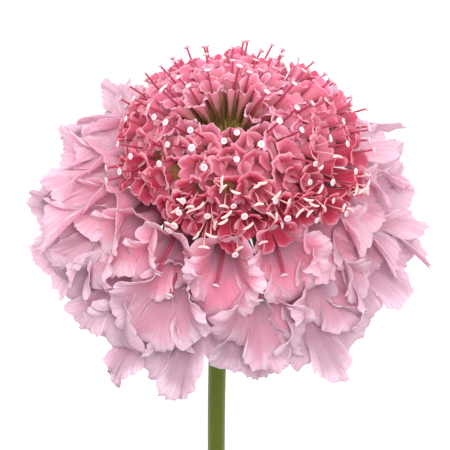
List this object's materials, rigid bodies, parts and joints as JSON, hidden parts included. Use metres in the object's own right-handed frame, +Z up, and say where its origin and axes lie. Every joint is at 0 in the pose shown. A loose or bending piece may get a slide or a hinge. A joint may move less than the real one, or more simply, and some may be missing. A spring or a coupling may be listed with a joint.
{
  "type": "scabiosa flower",
  "caption": "Single cut pincushion flower lying down, with a domed coral centre of small florets, a skirt of ruffled pink petals and a long bare green stem.",
  "frame": {"origin": "on the surface that the flower lies on, under the middle of its bounding box", "axes": "+Z up, +Y from the bloom along the stem to its cut end, the bloom's face towards -Y"},
  "size_m": [0.0722, 0.165, 0.0625],
  "materials": {
    "stem_green": "matt green stem with fine hairs",
    "receptacle_green": "matt pale green",
    "bract_green": "matt dark green",
    "bristle_brown": "matt olive brown",
    "coral_floret": "soft satin petal, coral pink",
    "pale_pink_petal": "thin veined petal, pale lilac pink, deeper towards the throat"
  },
  "bodies": {
    "root": {"stem": "stem_green", "receptacle": "receptacle_green", "involucre": "bract_green", "crown_bristles": "bristle_brown", "disc_florets": "coral_floret", "ray_florets": "pale_pink_petal"}
  },
  "joints": []
}
